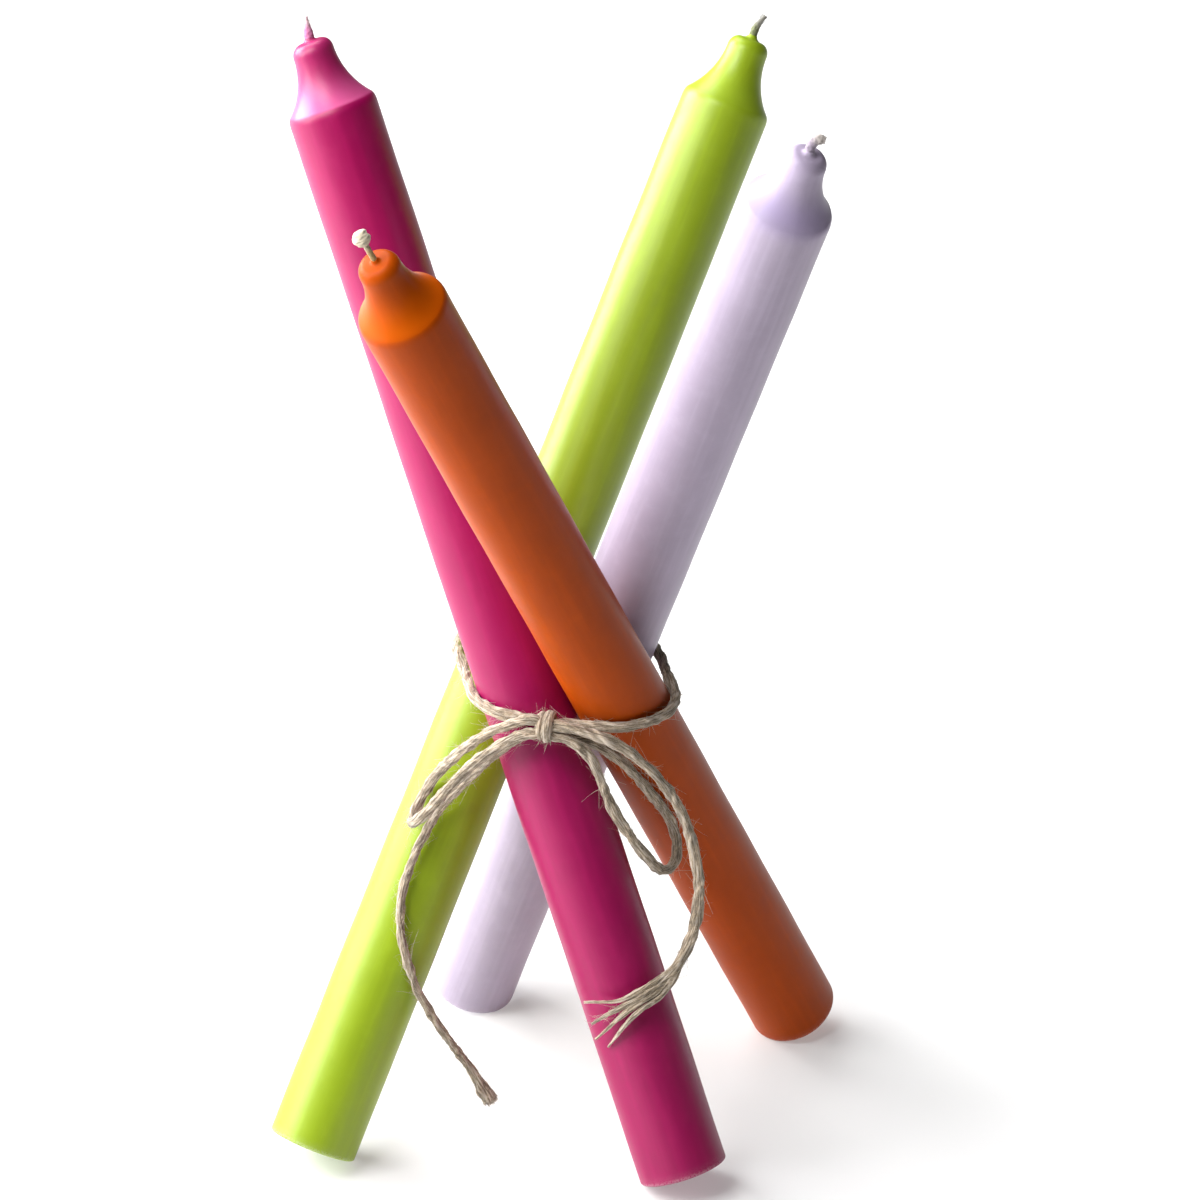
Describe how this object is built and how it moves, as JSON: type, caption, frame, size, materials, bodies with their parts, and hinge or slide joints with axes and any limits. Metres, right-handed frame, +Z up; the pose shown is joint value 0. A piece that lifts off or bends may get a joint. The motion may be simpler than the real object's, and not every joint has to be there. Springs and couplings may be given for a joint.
{
  "type": "tied dinner candles",
  "caption": "Tapered dinner candles in different colours that lean together like tepee poles, tied at the crossing with a jute twine bow.",
  "frame": {"origin": "on the table, under the middle of the plan of the leaning candles, without the loose twine", "axes": "+Z up, +Y away from the side that carries the knot and bow, +X to the right as the bow is seen"},
  "size_m": [0.1402, 0.153, 0.2804],
  "materials": {
    "pink_wax": "satin dyed wax with a faint bloom",
    "orange_wax": "satin dyed wax with a faint bloom",
    "green_wax": "satin dyed wax with a faint bloom",
    "lilac_wax": "satin dyed wax with a faint bloom",
    "wick_cotton": "braided cotton, waxed",
    "jute_twine": "twisted natural jute with stray fibres"
  },
  "bodies": {
    "twine": {"twine_band": "jute_twine", "twine_knot": "jute_twine", "left_bow_loop": "jute_twine", "left_twine_tail": "jute_twine", "right_bow_loop": "jute_twine", "right_twine_tail": "jute_twine"},
    "pink_candle": {"pink_candle_wax": "pink_wax", "pink_wick": "wick_cotton"},
    "orange_candle": {"orange_candle_wax": "orange_wax", "orange_wick": "wick_cotton"},
    "green_candle": {"green_candle_wax": "green_wax", "green_wick": "wick_cotton"},
    "lilac_candle": {"lilac_candle_wax": "lilac_wax", "lilac_wick": "wick_cotton"}
  },
  "joints": [
    {"name": "pink_candle_slide", "type": "slide", "parent": "twine", "child": "pink_candle", "axis": [-0.3078, 0.3121, 0.8988], "range_m": [0, 0.3]},
    {"name": "orange_candle_slide", "type": "slide", "parent": "twine", "child": "orange_candle", "axis": [-0.3428, -0.3163, 0.8846], "range_m": [0, 0.3]},
    {"name": "green_candle_slide", "type": "slide", "parent": "twine", "child": "green_candle", "axis": [0.3691, 0.3985, 0.8396], "range_m": [0, 0.3]},
    {"name": "lilac_candle_slide", "type": "slide", "parent": "twine", "child": "lilac_candle", "axis": [0.2771, -0.2521, 0.9272], "range_m": [0, 0.3]}
  ]
}
